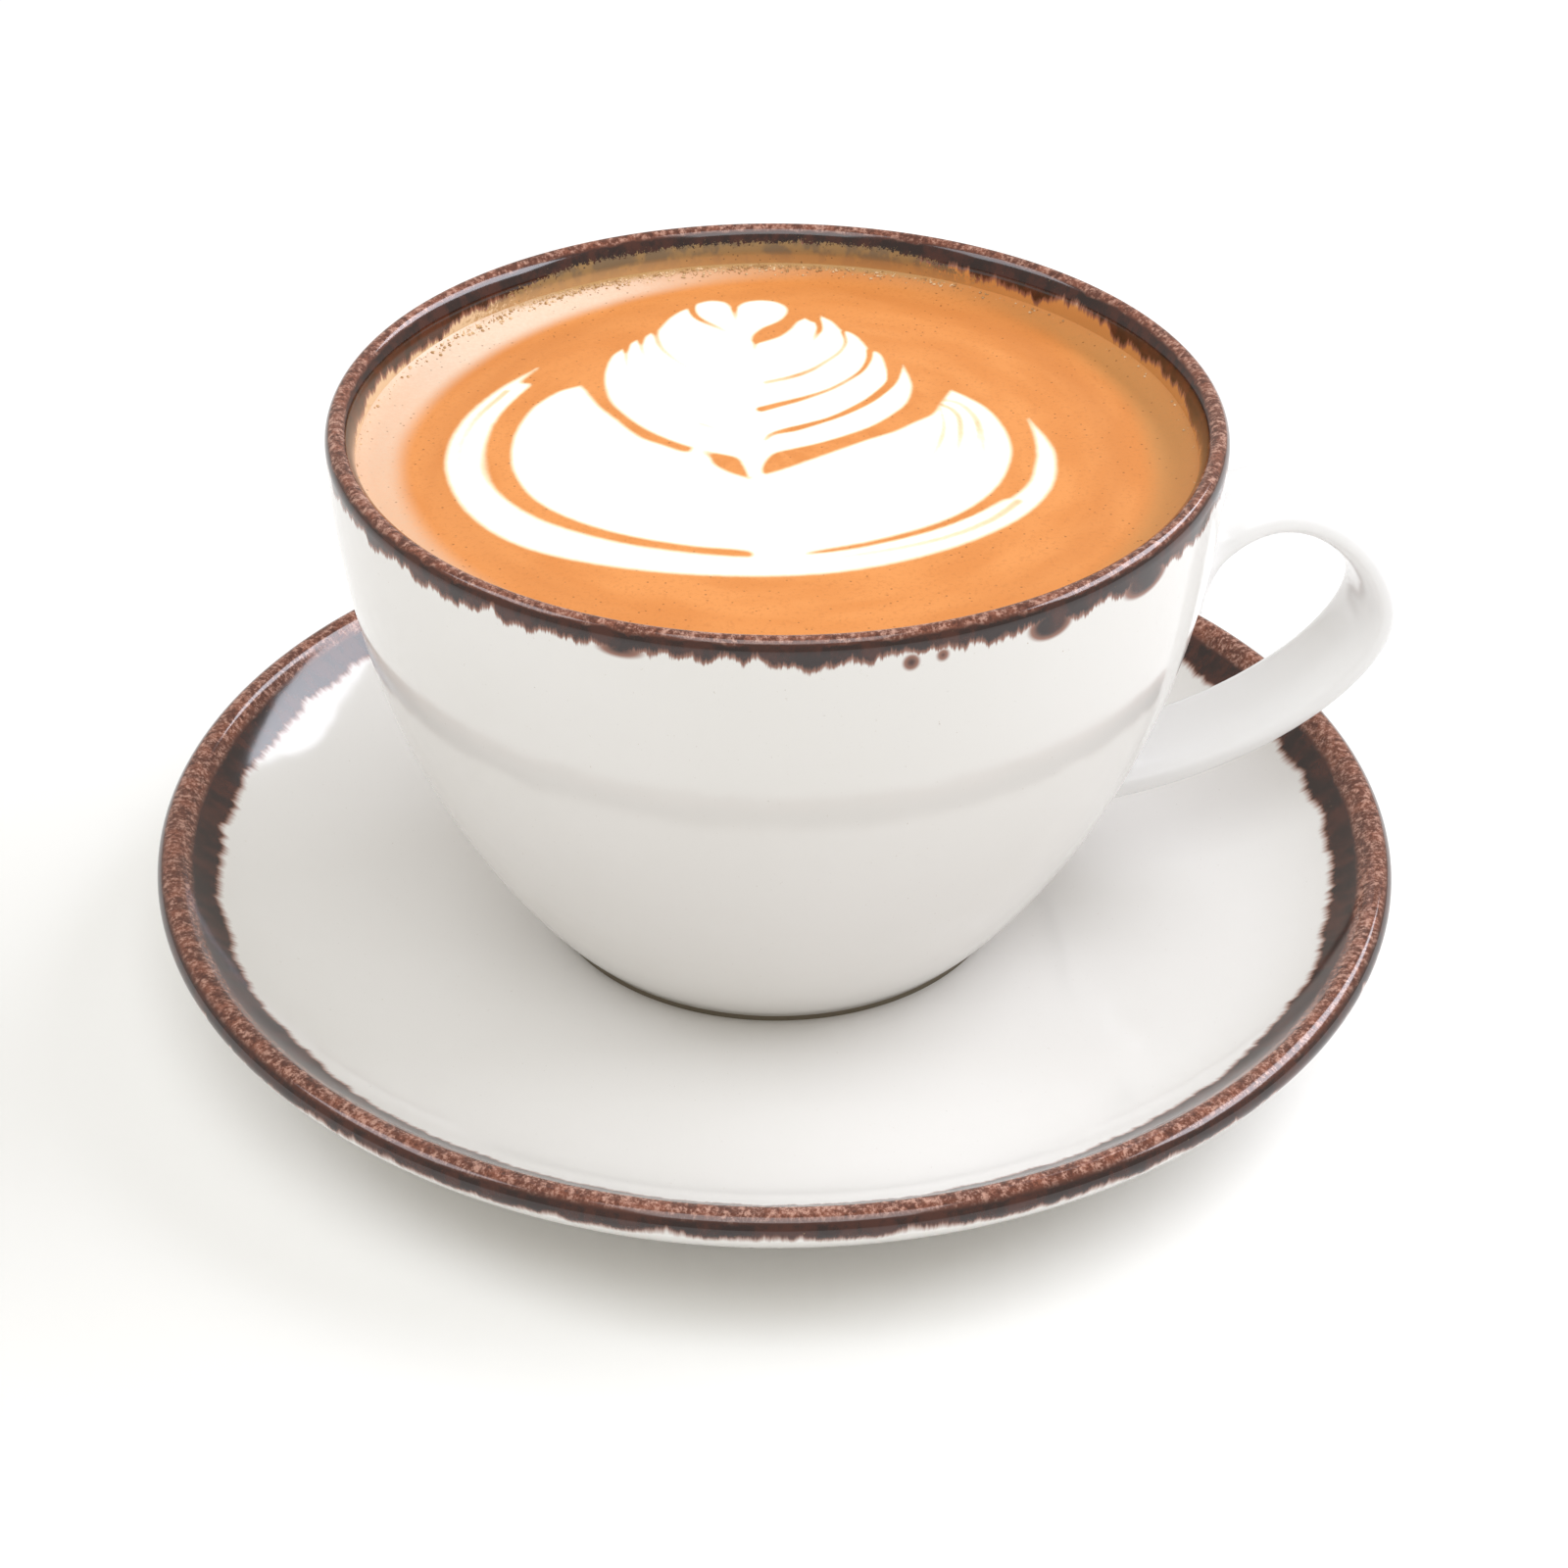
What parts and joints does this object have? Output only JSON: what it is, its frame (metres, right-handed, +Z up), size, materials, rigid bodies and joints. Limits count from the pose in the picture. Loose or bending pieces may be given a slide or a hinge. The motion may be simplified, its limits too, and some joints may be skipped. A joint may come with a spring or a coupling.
{
  "type": "latte in a cup with saucer",
  "caption": "Latte with a poured leaf in its foam, in a wide white cup with a looped handle, standing on a round saucer with an upturned rim.",
  "frame": {"origin": "on the axis of the cup and the saucer, in the plane that the saucer stands on", "axes": "+Z up along the axis of the cup, +X towards the cup's handle, +Y to the left of the handle seen from the axis"},
  "size_m": [0.16, 0.16, 0.0789],
  "materials": {
    "saucer_glaze": "gloss",
    "cup_glaze": "gloss",
    "crema": "satin"
  },
  "bodies": {
    "root": {"saucer": "saucer_glaze", "cup": "cup_glaze", "coffee": "crema"}
  },
  "joints": []
}
